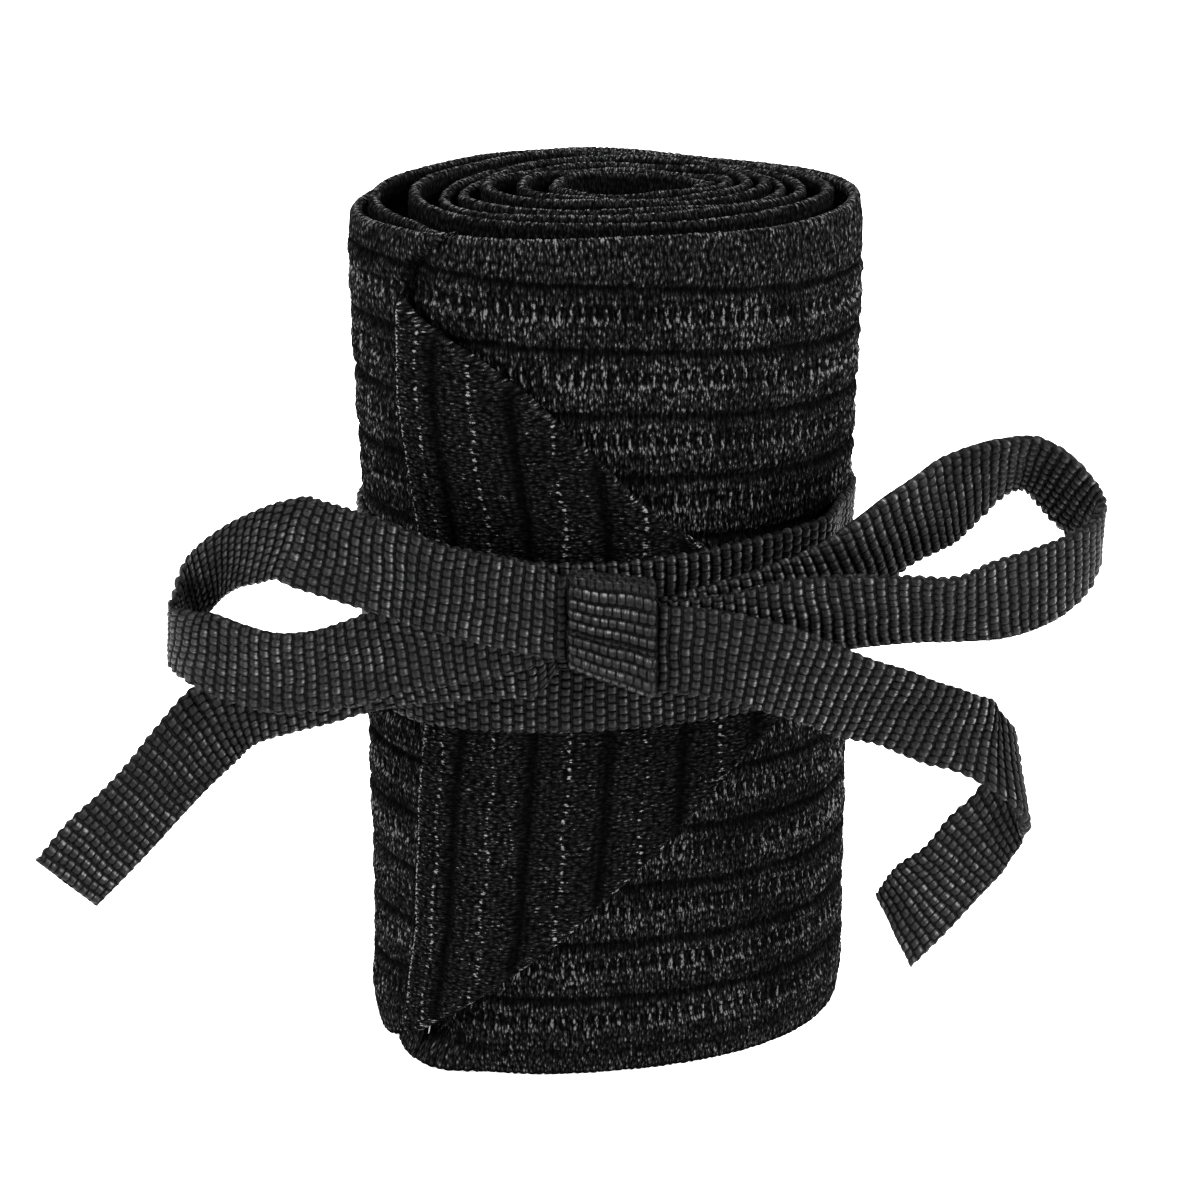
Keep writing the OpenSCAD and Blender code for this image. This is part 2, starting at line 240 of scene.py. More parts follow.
def make(name, rings, tone, coords, closed=False):
    """A skin over rings of points, rings[i, k], in mm, closed round k and, if closed is true, along i too."""
    n, k = rings.shape[:2]
    verts = rings.reshape(-1, 3)
    tone, coords = tone.reshape(-1), coords.reshape(-1, 2)
    i = np.arange(n if closed else n - 1)[:, None]
    j = np.arange(k)[None, :]
    i2, j2 = (i + 1) % n, (j + 1) % k
    quads = np.stack(np.broadcast_arrays(i * k + j, i * k + j2, i2 * k + j2, i2 * k + j), -1).reshape(-1, 4)
    tris = np.zeros((0, 3), int)
    if not closed:
        tris = np.concatenate([zipped(rings[0])[:, ::-1], zipped(rings[-1]) + (n - 1) * k])
    p = verts[quads]
    volume = np.sum(p[:, 0] * np.cross(p[:, 1], p[:, 2]) + p[:, 0] * np.cross(p[:, 2], p[:, 3]))
    if volume < 0:
        quads, tris = quads[:, ::-1], tris[:, ::-1]
    loops = np.concatenate([quads.reshape(-1), tris.reshape(-1)])
    totals = np.concatenate([np.full(len(quads), 4), np.full(len(tris), 3)])
    me = bpy.data.meshes.new(name)
    me.vertices.add(len(verts))
    me.vertices.foreach_set("co", (verts * MM).astype(np.float32).reshape(-1))
    me.loops.add(len(loops))
    me.loops.foreach_set("vertex_index", loops.astype(np.int32))
    me.polygons.add(len(totals))
    me.polygons.foreach_set("loop_start", np.concatenate([[0], np.cumsum(totals)[:-1]]).astype(np.int32))
    me.polygons.foreach_set("loop_total", totals.astype(np.int32))
    me.polygons.foreach_set("use_smooth", totals == 4)
    me.update(calc_edges=True)
    me.validate()
    uv = me.uv_layers.new(name="fabric")
    uv.data.foreach_set("uv", (coords[loops] / 10.0).astype(np.float32).reshape(-1))
    col = me.color_attributes.new("tone", "FLOAT_COLOR", "POINT")
    rgba = np.ones((len(verts), 4), np.float32)
    rgba[:, :3] = tone[:, None]
    col.data.foreach_set("color", rgba.reshape(-1))
    ob = bpy.data.objects.new(name, me)
    bpy.context.scene.collection.objects.link(ob)
    return ob


def section(lo, hi, thick, fine, coarse, fine_top=None, round_steps=5):
    """Across a sheet of fabric: positions along its width, depth from the face, how far each point takes the face's
    relief, and the direction that the relief goes in (outwards, along the width)."""
    r = thick / 2
    n = max(2, int(round((hi - lo - thick) / fine)))
    front = np.linspace(lo + r, hi - r, n + 1)
    if fine_top:
        below, above = np.linspace(lo + r, fine_top, 12), np.arange(fine_top, hi - r, fine)
        front = np.unique(np.round(np.concatenate([below, above, [hi - r]]), 4))
    back = np.linspace(hi - r, lo + r, max(3, int((hi - lo) / coarse)))
    if fine_top:
        back = front[::-1][::2]
    t = np.linspace(0, np.pi, round_steps + 2)[1:-1]
    pos = np.concatenate([front, hi - r + r * np.sin(t), back, lo + r - r * np.sin(t)])
    dep = np.concatenate([front * 0, r - r * np.cos(t), back * 0 + thick, r + r * np.cos(t)])
    out = np.concatenate([front * 0 + 1, np.cos(t), back * 0 - 1, -np.cos(t)])
    up = np.concatenate([front * 0, np.sin(t), back * 0, -np.sin(t)])
    relief = np.concatenate([front * 0 + 1, 0.65 + 0.35 * np.cos(t), back * 0 + 0.3, 0.65 - 0.35 * np.cos(t)])
    return pos, dep, relief, out, up


def by_length(m0, m1, step):
    """Turns between m0 and m1 at even steps of length along the band."""
    m = np.linspace(m0, m1, 1500)
    s = arc_length(band_at(m))
    n = max(2, int(round(s[-1] / step)))
    return np.interp(np.linspace(0, s[-1], n + 1), s, m)


MM_PER_DEGREE = 0.43  # round the outer lap
M_ALL = np.linspace(-0.08, TURNS, 9000)
S_ALL = arc_length(band_at(M_ALL))


def lift(m):
    """Height of the band's lower edge after m turns: the core stands proud, in soft waves."""
    a = np.radians(FOLD - 360 * m)
    base = np.interp(m, [0, 0.94, 1.02, 2.1, 2.2, 4.1, 4.2, 7.7], [0, 0, 0.6, 0.8, 1.1, 1.4, 2.0, 2.2])
    left = 0.9 * np.maximum(0, np.cos(a - 3.3)) ** 2 * ease((m - 1) * 8) * ease((2.6 - m) * 2)
    return base + left + 0.22 * np.sin(2 * a + 1.3 * m) + 0.12 * np.sin(5 * a + 2 * m)


def band(name, m0, m1, step, fine, fine_top=None, end=None):
    """The band from m0 to m1 turns in. end gives the angle that it starts at, by height, in place of m0."""
    m = by_length(m0, m1, step)
    pos, dep, relief, out, up = section(0, WIDTH, BAND_T, fine, 4.0, fine_top)
    z = pos[None, :] + 0 * m[:, None]
    m = m[:, None] + 0 * z
    if end is not None:
        first = (FOLD - end(pos)) / 360
        u = np.clip(1 - (m - m0) / 0.12, 0, 1) ** 1.5
        m = m + u * (first - m0)
    s = np.interp(m, M_ALL, S_ALL)
    xy, nrm = band_at(m, 0.025 * ease((z - 86) / 5)), band_normal(m)
    a = FOLD - 360 * m
    h, tone = knit(s, z, xy[..., 0] + 1, 3)
    h = h - 0.18
    face = slack_out(a, z) * np.clip(1 - layer(m) / 3.5, 0, 1)
    face = face + climb(a) * (m < 0.3)
    # the second lap splays out at the foot where the outer lap ends
    face = face + 3.2 * ease((m - 0.93) / 0.05) * ease((1.045 - m) / 0.055) * ease((5 - z) / 4.5)
    # at the left, its top and the next layers' lean outwards
    lean = np.interp(layer(m), [0, 0.9, 1, 2, 2.6, 3, 4, 5, 6, 7], [0, 0, 0.4, 0, 0.3, 1.2, 1.5, 1.5, 0.8, 0])
    face = face + lean * ease((z - 55) / 40) * np.maximum(0, np.cos(np.radians(a - 185))) ** 2
    rise, deep = 0 * z, dep
    if end is not None:
        past = (m - first) * 360 * MM_PER_DEGREE
        near = np.clip(past / 1.3, 0, 1)
        face = face - 1.15 * (1 - np.sqrt(1 - (1 - near) ** 2))
        # at the top the end thins out, and at the foot its edge climbs towards the corner
        thin = ease((z - 90) / 4) * (1 - np.clip(past / 3, 0, 1))
        face = face - 0.6 * thin
        deep = dep * (1 - 0.45 * thin)
        rise = 2.2 * ease((a - 203) / 14) * np.clip(1 - z / 20, 0, 1)
        # painted shade: the tone darkens over the last 1.3 mm before the lap's end, where it rounds down
        tone = tone * (0.6 + 0.4 * near)
    off = face - deep + h * relief * out
    p = np.empty(z.shape + (3,))
    p[..., :2] = xy + nrm * off[..., None]
    top = ease((z - 60) / 40)
    p[..., 2] = z + rise + lift(m) * (0.35 + 0.65 * top) + h * relief * up
    p[..., 2] = np.maximum(p[..., 2], 0.0)
    # painted shade: the faces of the inner layers darken towards the top, inside the roll
    inner = ease((layer(m) - 0.3) / 0.4)
    # painted highlight: the upward-facing rounded edges are lightened by the (1 + 0.8 * up) factor
    tone = tone * (1 - inner * 0.55 * np.abs(out) * ease((z - 50) / 20)) * (1 + 0.8 * up)
    around = arc_length(np.column_stack([pos, dep]))
    coords = np.stack([s, around[None, :] + 0 * s], -1)
    length = arc_length(xy[:, 0])[-1]
    return make(name, p, tone, coords), length


# ---------------------------------------------------------------- materials
def nodes_of(name):
    mat = bpy.data.materials.new(name)
    mat.use_nodes = True
    nt = mat.node_tree
    return mat, nt, nt.nodes["Principled BSDF"]


def math_node(nt, op, a, b=None, c=None, clamp=False):
    n = nt.nodes.new("ShaderNodeMath")
    n.operation, n.use_clamp = op, clamp
    for i, v in enumerate((a, b, c)):
        if v is None:
            continue
        if isinstance(v, (int, float)):
            n.inputs[i].default_value = v
        else:
            nt.links.new(v, n.inputs[i])
    return n.outputs["Value"]


def fabric(name, stops, rough=0.8, spec=0.08, sheen=0.0, strokes=(60, 18), grain=0.9, glint=0.6, fine=0.07,
           strands=None, strand_relief=0.1, woven=None):
    """Yarn. The tone stored on the mesh runs it from gap to crown, with fibre-scale colour, painted glints and relief
    on top.
    strokes is how many fibres there are in 10 mm along and across the fabric, and strands how many bundles."""
    mat, nt, bsdf = nodes_of(name)
    N, L = nt.nodes.new, nt.links.new
    uv = N("ShaderNodeUVMap")
    uv.uv_map = "fabric"
    stretch = N("ShaderNodeMapping")
    stretch.inputs["Scale"].default_value = (strokes[0], strokes[1], 1)
    L(uv.outputs["UV"], stretch.inputs["Vector"])
    fibre = N("ShaderNodeTexNoise")
    fibre.inputs["Scale"].default_value = 1.0
    fibre.inputs["Detail"].default_value = 2
    L(stretch.outputs["Vector"], fibre.inputs["Vector"])
    place = N("ShaderNodeTexCoord")
    speck = N("ShaderNodeTexNoise")
    speck.inputs["Scale"].default_value = 5200
    speck.inputs["Detail"].default_value = 1
    L(place.outputs["Object"], speck.inputs["Vector"])
    wide = N("ShaderNodeTexNoise")
    wide.inputs["Scale"].default_value = 90
    L(place.outputs["Object"], wide.inputs["Vector"])
    tone = N("ShaderNodeAttribute")
    tone.attribute_name = "tone"
    f = math_node(nt, "MULTIPLY_ADD", fibre.outputs["Fac"], 4.0, -1.5, clamp=True)
    f = math_node(nt, "MULTIPLY_ADD", f, grain * 1.2, 1 - grain * 0.6)
    w = math_node(nt, "MULTIPLY_ADD", wide.outputs["Fac"], 0.5, 0.75)
    value = math_node(nt, "MULTIPLY", math_node(nt, "MULTIPLY", tone.outputs["Fac"], f), w)
    bundle = None
    if strands:
        lay = N("ShaderNodeMapping")
        lay.inputs["Scale"].default_value = (strands[0], strands[1], 1)
        L(uv.outputs["UV"], lay.inputs["Vector"])
        cell = N("ShaderNodeTexVoronoi")
        cell.voronoi_dimensions = "2D"
        cell.inputs["Scale"].default_value = 1.0
        cell.inputs["Randomness"].default_value = 0.8
        L(lay.outputs["Vector"], cell.inputs["Vector"])
        bundle = math_node(nt, "MULTIPLY_ADD", cell.outputs["Distance"], -1.75, 1.2, clamp=True)
        value = math_node(nt, "MULTIPLY", value, math_node(nt, "MULTIPLY_ADD", bundle, 1.35, 0.08))
    if woven:
        # painted shade: each block of the weave darkens to a line at its edges, and neighbouring columns are half a
        # block apart
        part = N("ShaderNodeSeparateXYZ")
        L(uv.outputs["UV"], part.inputs["Vector"])
        run = math_node(nt, "MULTIPLY", part.outputs["X"], 10 / woven[0])
        col = math_node(nt, "FLOOR", run)
        a = math_node(nt, "ABSOLUTE", math_node(nt, "SUBTRACT", math_node(nt, "FRACT", run), 0.5))
        b = math_node(nt, "MULTIPLY_ADD", col, 0.5, math_node(nt, "MULTIPLY", part.outputs["Y"], 10 / woven[1]))
        b = math_node(nt, "ABSOLUTE", math_node(nt, "SUBTRACT", math_node(nt, "FRACT", b), 0.5))
        line = math_node(nt, "MULTIPLY_ADD", b, -9.0, 4.4, clamp=True)
        a = math_node(nt, "MULTIPLY_ADD", math_node(nt, "POWER", math_node(nt, "MULTIPLY", b, 2.0), 3.0), 0.16, a)
        valley = math_node(nt, "MULTIPLY_ADD", a, -8.0, 3.75, clamp=True)
        bundle = math_node(nt, "MULTIPLY", line, valley)
        value = math_node(nt, "MULTIPLY", value, math_node(nt, "MULTIPLY_ADD", bundle, 0.9, 0.1))
    # painted glints: sparse bright specks added to the base colour where the fine noise peaks
    g = math_node(nt, "MULTIPLY_ADD", speck.outputs["Fac"], 9.0, -5.6, clamp=True)
    g = math_node(nt, "MULTIPLY", g, math_node(nt, "MULTIPLY", value, glint))
    value = math_node(nt, "ADD", value, g)
    value = math_node(nt, "MULTIPLY", value, 0.5)
    ramp = N("ShaderNodeValToRGB")
    els = ramp.color_ramp.elements
    while len(els) < len(stops):
        els.new(0.5)
    for e, (at, grey) in zip(els, stops):
        e.position = at
        e.color = (grey, grey, grey * 1.02, 1)
    L(value, ramp.inputs["Fac"])
    L(ramp.outputs["Color"], bsdf.inputs["Base Color"])
    relief = N("ShaderNodeBump")
    relief.inputs["Strength"].default_value = 1.0
    relief.inputs["Distance"].default_value = fine * MM
    height = math_node(nt, "ADD", fibre.outputs["Fac"], speck.outputs["Fac"])
    if bundle is not None:
        height = math_node(nt, "MULTIPLY_ADD", bundle, strand_relief / fine, height)
    L(height, relief.inputs["Height"])
    L(relief.outputs["Normal"], bsdf.inputs["Normal"])
    bsdf.inputs["Roughness"].default_value = rough
    bsdf.inputs["Sheen Weight"].default_value = sheen
    bsdf.inputs["Sheen Roughness"].default_value = 0.5
    bsdf.inputs["Specular IOR Level"].default_value = spec
    return mat


# each list is (place on the ramp, grey); strokes and strands are along and across
KNIT = fabric("knit_black",
              [(0, 0.0006), (0.25, 0.003), (0.5, 0.009), (0.8, 0.026), (1, 0.075)],
              rough=0.7, spec=0.0, strands=(34, 13))
KNIT_BACK = fabric("knit_black_underside",
                   [(0, 0.0005), (0.25, 0.0025), (0.5, 0.007), (0.8, 0.024), (1, 0.12)],
                   rough=0.7, spec=0.0, strokes=(22, 60), strands=(15, 30))
TAPE = fabric("tape_black",
              [(0, 0.0004), (0.2, 0.005), (0.4, 0.012), (0.7, 0.034), (1, 0.1)],
              rough=0.42, spec=0.05, strokes=(12, 52), grain=0.6, glint=0.3, fine=0.05, woven=(PITCH, BLOCK))
THREAD = fabric("thread_black",
                [(0, 0.004), (0.3, 0.03), (0.6, 0.08), (0.85, 0.15), (1, 0.22)],
                rough=0.5, spec=0.05, strokes=(30, 30))


def piece(ob, mat, body="roll", nodes=()):
    ob.data.materials.append(mat)
    if body:
        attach(ob, body)
    if nodes:
        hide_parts(*nodes)
    return ob


# ---------------------------------------------------------------- camera
cam = bpy.data.cameras.new("camera")
cam.lens, cam.sensor_width = 80.8, 36
cam.clip_start, cam.clip_end = 0.01, 20
camera = bpy.data.objects.new("camera", cam)
camera.location = (-1.0 * MM, -289.0 * MM, 170.07 * MM)
camera.rotation_euler = (math.pi / 2 - 0.3862, 0, 0)
bpy.context.scene.collection.objects.link(camera)
bpy.context.scene.camera = camera

# ---------------------------------------------------------------- tape: places along it, [upper edge, lower edge]
LOOP_LEFT = [
    [[-5.6, -26, 66], [-5.6, -26, 56]], [[-8.5, -26, 67.5], [-9.5, -26, 57]],
    [[-17.5, -26, 69.5], [-19, -26, 59.5]], [[-22, -26, 71.5], [-23, -26, 61]],
    [[-25, -25.5, 72.5], [-26.5, -25.5, 62]], [[-30.5, -23.5, 73.5], [-33.5, -23.5, 63.5]],
    [[-32, -22.5, 73.5], [-35.5, -22.5, 64]], [[-35, -21.5, 72.5], [-37.5, -21, 63]],
    [[-38, -20.5, 71], [-40, -18.5, 61.5]], [[-41, -19, 69], [-42, -16, 59.5]],
    [[-44, -18, 66.5], [-43.5, -14, 57.5]], [[-46, -17, 64], [-45.5, -12.5, 55]],
    [[-47, -17.5, 61], [-47, -11.5, 53]], [[-47.5, -18, 59], [-48.5, -12.5, 51]],
    [[-46.5, -19.5, 59.5], [-48.5, -14.5, 50.5]], [[-44.5, -20.5, 59.5], [-47, -17.5, 50.5]],
    [[-42.5, -21, 59.5], [-44, -20.5, 50]], [[-39, -23, 59], [-40, -21.5, 49]],
    [[-35.5, -24, 58.5], [-36, -22.5, 48.5]], [[-31.5, -24.5, 59], [-31.5, -23, 49]],
    [[-28, -24, 60], [-27, -24, 50]], [[-24, -24, 61.5], [-22.5, -24, 51.5]],
    [[-19, -24.5, 62.5], [-17.5, -24.5, 52.5]], [[-13.5, -24.5, 64], [-12.5, -24.5, 53.5]],
    [[-5.6, -24.8, 65], [-5.6, -24.8, 55.5]]
]
LOOP_RIGHT = [
    [[5.6, -23.8, 62.5], [5.6, -23.8, 52.5]], [[11, -23.5, 64], [13, -23.5, 54.5]],
    [[16.5, -22.5, 65.5], [19, -22.5, 56]], [[22, -21.5, 67.5], [26, -20.5, 58.5]],
    [[26, -20.5, 70], [29.5, -18, 61]], [[29.5, -18.5, 72], [32.5, -16, 63]],
    [[33, -16, 73.5], [35.5, -14.5, 64]], [[36, -13, 74.5], [38, -12.5, 64.5]],
    [[40, -11.5, 75.5], [41, -9, 66]], [[43.5, -11, 76], [44, -5.5, 67.5]],
    [[47, -9.5, 75.5], [46.5, -3.5, 67.5]], [[50.5, -9, 73.5], [48.5, -3, 65.5]],
    [[53, -9.5, 71], [50.5, -4, 63.5]], [[54, -11, 69.5], [53, -5.5, 61.5]],
    [[53.5, -13.5, 68.5], [54.5, -8, 60.5]], [[52, -15, 67.5], [53, -11.5, 58.5]],
    [[49, -16.5, 66.5], [50, -15, 57]], [[45.5, -18.5, 66], [46.5, -17, 56]],
    [[41, -21, 65.5], [42.5, -18.5, 55.5]], [[37, -23, 64.5], [37.5, -19, 55.5]],
    [[32, -24, 65], [33, -20.5, 56]], [[25.5, -25, 65.5], [27, -22, 56]],
    [[19.5, -25.2, 65.3], [21, -23.6, 55.5]], [[12.5, -25, 63.5], [13.5, -24.6, 53.5]],
    [[5.6, -24.9, 62.5], [5.6, -24.9, 52.5]]
]
TAIL_LEFT = [
    [[-5.6, -23.6, 60.5], [-5.6, -23.6, 50.5]], [[-12, -23.2, 60], [-11.5, -23.2, 50.5]],
    [[-18.5, -23, 60], [-17.5, -23, 50]], [[-23, -22.5, 59.5], [-21.5, -22.5, 49.5]],
    [[-28, -21.5, 58], [-26.5, -21.5, 48]], [[-31.5, -21, 57], [-30.5, -21, 46.5]],
    [[-35.5, -20, 55.5], [-34.5, -20, 45]], [[-40.5, -18.6, 52.5], [-39, -18.8, 43]],
    [[-46, -18.2, 49.5], [-41.5, -18.3, 40.5]], [[-50, -20.5, 45.5], [-45, -18, 37]],
    [[-53, -22, 42], [-48, -19, 34]], [[-56, -23, 39], [-51, -20.5, 31]],
    [[-59.5, -24, 36], [-54, -21.5, 28]], [[-63, -25.5, 32], [-57.5, -22, 24.5]]
]
TAIL_RIGHT = [
    [[5.6, -26, 62.5], [5.6, -26, 52.5]], [[12.5, -26.5, 62], [11.5, -26.5, 52]],
    [[19.5, -27, 60.5], [17, -27, 50.5]], [[24, -27, 58.5], [21, -26.5, 49]],
    [[28, -26.5, 56.5], [24.5, -25.5, 47]], [[32, -26, 55], [28.5, -25, 46]],
    [[35, -25.5, 53.5], [31.5, -24.5, 44.5]], [[37.5, -25, 52.5], [34.5, -24, 43]],
    [[39.5, -24.5, 51.5], [37.5, -23.5, 42]], [[41.5, -23.5, 50.5], [40.5, -23.5, 40.5]],
    [[42, -23, 49.5], [43, -23, 38.5]], [[43, -22.5, 48], [45, -22.5, 36.5]],
    [[44, -21, 45.5], [46.5, -21, 33.5]], [[43.5, -19.5, 43], [46.5, -19.5, 32]],
    [[42.5, -19.5, 40.5], [46.5, -18.5, 30.5]], [[40.5, -19.5, 37], [45.5, -18, 28.5]],
    [[38, -19, 34], [44.5, -18, 26.5]], [[35.5, -18.5, 30], [42, -17.5, 23]],
    [[32.5, -17.5, 27], [39, -17.5, 19]], [[30.5, -16.5, 23], [35, -16.5, 13.5]]
]


def smooth_path(p, per=12):
    """Catmull-Rom through rows of numbers."""
    p = A(p, float)
    q = np.concatenate([[2 * p[0] - p[1]], p, [2 * p[-1] - p[-2]]])
    out = []
    for i in range(1, len(q) - 2):
        t = np.linspace(0, 1, per, endpoint=False)[:, None]
        a, b, c, d = q[i - 1], q[i], q[i + 1], q[i + 2]
        curve = (2 * a - 5 * b + 4 * c - d) * t ** 2 + (3 * b - a - 3 * c + d) * t ** 3
        out.append(0.5 * (2 * b + (c - a) * t + curve))
    return np.concatenate(out + [[p[-1]]])


TAPE_T, TAPE_STEP = 0.75, 0.16
KNOT_PAINTED_SHADOW_FROM = 6.3  # how far from the middle the painted shadow on the tape starts, where it goes into the knot
# how far the upper and lower edges draw in at the knot
GATHER = {"bow_tail_left": (0.0, 4.2), "bow_loop_left": (0.0, 0.5), "bow_loop_right": (0.0, 0.5)}


def tape_skin(name, upper, lower, seed, closed=False, back_fine=True, face=1.0, painted_shadow_from=None):
    """Woven tape between two edges, each an even run of points, and the line along its middle and its length."""
    mid = (upper + lower) / 2
    s0 = arc_length(mid)
    n = max(4, int(round(s0[-1] / TAPE_STEP)))
    s = np.linspace(0, s0[-1], n + 1)
    if closed:
        s = s[:-1]
    up = np.stack([np.interp(s, s0, upper[:, k]) for k in range(3)], -1)
    lo = np.stack([np.interp(s, s0, lower[:, k]) for k in range(3)], -1)
    mid = (up + lo) / 2
    if closed:
        tan = np.roll(mid, -3, 0) - np.roll(mid, 3, 0)
    else:
        pad = np.concatenate([[2 * mid[0] - mid[1]], mid, [2 * mid[-1] - mid[-2]]])
        tan = pad[2:] - pad[:-2]
        ker = np.ones(7) / 7
        for k in range(3):
            ext = np.concatenate([[tan[0, k]] * 3, tan[:, k], [tan[-1, k]] * 3])
            tan[:, k] = np.convolve(ext, ker, "valid")
    wide = up - lo
    nrm = unit(np.cross(unit(tan), wide)) * face
    pos, dep, _, out, upw = section(-HALF_TAPE, HALF_TAPE, TAPE_T, TAPE_STEP, TAPE_STEP if back_fine else 1.2,
                                      round_steps=4)
    c = pos[None, :] + 0 * s[:, None]
    ss = s[:, None] + 0 * c
    # side picks which side of each block carries the painted highlight, from which way the tape runs along x
    side = np.where(tan[:, 0] >= 0, 1.0, -1.0)[:, None]
    h, tone, coords = weave(ss, c, seed=seed, side=side)
    hb, tb, cb = weave(ss + 0.63, -c, seed=seed + 40, side=side)
    back = (out < -0.5)[None, :]
    h = np.where(back, hb * (1.0 if back_fine else 0.3), h)
    tone = np.where(back, tb, tone)
    coords = np.where(back[..., None], cb, coords)
    h = h - 0.16
    if painted_shadow_from:
        # painted shadow: darker where it goes into the knot
        tone = tone * (1 - 0.65 * ease((painted_shadow_from - np.abs(mid[:, :1])) / 1.1))
    scallop = 0.07 * np.cos(2 * np.pi * (ss / PITCH + 0.5)) * ease((np.abs(c) - 4) / 1.0) * np.sign(c)
    across = (c + scallop + h * upw * 0.35) / 10 + 0.5
    off = TAPE_T / 2 - dep + h * out
    p = lo[:, None, :] + wide[:, None, :] * across[..., None] + nrm[:, None, :] * off[..., None]
    return make(name, p, tone, coords, closed=closed), mid, s[-1]


def ribbon(name, table, seed):
    """A loop or tail of the bow. Its last stretch gathers a little and goes into the mouth of the knot."""
    table = A(table, float)
    draw_up, draw_down = GATHER.get(name, (0.0, 0.0))
    up, lo = smooth_path(table[:, 0]), smooth_path(table[:, 1])
    ends = [0] if name.startswith("bow_tail") else [0, -1]
    for e in ends:
        side = -1 if up[e, 0] < 0 else 1
        gone = np.clip((8.5 - np.abs((up + lo)[:, :1] / 2)) / 3.2, 0, 1) ** 1.5
        run = np.arange(len(up))[:, None]
        gone = gone * ((run < len(up) / 2) if e == 0 else (run >= len(up) / 2))
        up = up + gone * A([0, 0, -draw_up])
        lo = lo + gone * A([0, 0, draw_down])
        step = A([-0.6 * side, 0, 0])
        grow = [k * step for k in ((3, 2, 1) if e == 0 else (1, 2, 3))]
        if e == 0:
            up = np.concatenate([[up[0] + g for g in grow], up])
            lo = np.concatenate([[lo[0] + g for g in grow], lo])
        else:
            up = np.concatenate([up, [up[-1] + g for g in grow]])
            lo = np.concatenate([lo, [lo[-1] + g for g in grow]])
    return tape_skin(name, up, lo, seed, painted_shadow_from=KNOT_PAINTED_SHADOW_FROM)


# name, edges, body, CAD node, far end of a cord, a point out along it, a point at the knot, seed
PIECES = [
    ("bow_loop_left", LOOP_LEFT, "left_loop", "tie_loop_left", None, (-14, -26, 62), (-5.2, -26, 62), 11),
    ("bow_loop_right", LOOP_RIGHT, "right_loop", "tie_loop_right", None, (14, -24, 58), (5.2, -24, 58), 12),
    ("bow_tail_left", TAIL_LEFT, "left_tail", "tie_tail_left", "bare", (-14, -23.5, 55), (-5.2, -23.5, 55), 13),
    ("bow_tail_right", TAIL_RIGHT, "right_tail", "tie_tail_right", "bare", (14, -26, 57), (5.2, -26, 57), 14),
]
for name, table, body, node, far, out_at, knot_at, seed in PIECES:
    ob, mid, length = ribbon(name, table, seed)
    piece(ob, TAPE, None, [node])
    A(knot_at) * MM
    A(out_at) * MM
    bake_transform(ob)

# ---------------------------------------------------------------- strap: two turns of the same tape
def over_flaps(a):
    """How far the strap stands out where it passes over the folded corners."""
    return 2.4 * ease((a - 202) / 26) * (1 - ease((a - 330) / 18))


for name, node, z0, dip, seed in (("strap_upper_turn", "tie_strap_upper", 61.6, -1.3, 21),
                                  ("strap_lower_turn", "tie_strap_lower", 50.4, -0.1, 22)):
    a = np.linspace(0, 360, 721)
    zc = z0 + dip * bump(a - 270, 42) + 0.25 * np.sin(np.radians(2 * a + seed * 40))
    edges = []
    for dz in (5, -5):
        r = outline(a, over_flaps(a) + slack_out(a, zc + dz * 0.5) + 0.55)
        edges.append(np.column_stack([r, zc + dz]))
    ob, _, _ = tape_skin(name, edges[0], edges[1], seed, closed=True, back_fine=False)
    piece(ob, TAPE, "roll", [node])

# ---------------------------------------------------------------- band
# name, first and last turn, step along, step across, where the fine rows start, CAD nodes
BAND = [
    ("band_outer_front_right", 0.615, 0.79, 0.15, 0.24, None, ()),
    ("band_outer_front_left", 0.79, 0.985, 0.15, 0.24, None, ()),
    ("band_outer_back", 0.30, 0.615, 0.3, 0.27, None, ("band_outer_lap",)),
    ("band_outer_left", 0.0, 0.30, 0.18, 0.25, None, ("band_point",)),
    ("band_second_lap_turn", 0.985, 2.1, 0.3, 0.35, 86.0, ("band_second_lap",)),
    ("band_middle_turn", 2.1, 4.1, 0.3, 0.4, 88.0, ("band_middle_turns",)),
    ("band_core_turn", 4.1, TURNS, 0.3, 0.4, 88.0, ("band_core_turns", "band_inner_hem", "hem_stitching")),
]


def lap_end(z):
    """Angle that the outer lap reaches at each height before its corner turns back."""
    return np.interp(z, [0, 4, 10, 86, 91, 94, 97, 100], [215, 218, 227, 227, 222, 221, 224.5, 233])


for name, m0, m1, step, fine, fine_top, replaced in BAND:
    ob, length = band(name, m0, m1, step, fine, fine_top, end=lap_end if m0 == 0 else None)
    piece(ob, KNIT, "roll", replaced)

# ---------------------------------------------------------------- pointed end: its two corners, folded out
# (angle, height) along each fold, and (height, angle) up the selvage
TOP_FOLD = [
    (214, 97), (221, 93.6), (226, 91.8), (233, 89.6), (241, 87.3), (252, 83.5), (268, 77), (279, 72.5),
    (289, 69), (301, 65.5), (310, 62), (322, 57), (334, 51)
]
LOW_FOLD = [
    (214, 2.4), (222, 4.7), (229, 7.4), (245, 13.7), (261, 19.5), (270, 23.2), (290, 30.5), (305, 37.3),
    (320, 43), (334, 49)
]
SELVAGE = [(0, 217), (5, 217.5), (20, 222), (44, 225.2), (50, 225.2), (68, 224.6), (82, 221.2), (94, 221.8)]
FLAP_TIP, FLAP_RIB = 333.0, 7.75


def fold_z(a, upper):
    """Height of a fold at each angle."""
    t = A(TOP_FOLD if upper else LOW_FOLD, float)
    return np.interp(a, t[:, 0], t[:, 1])


def arc_of(a):
    """Length round the outline to an angle."""
    g = np.linspace(190, 345, 800)
    return np.interp(a, g, arc_length(outline(g)))


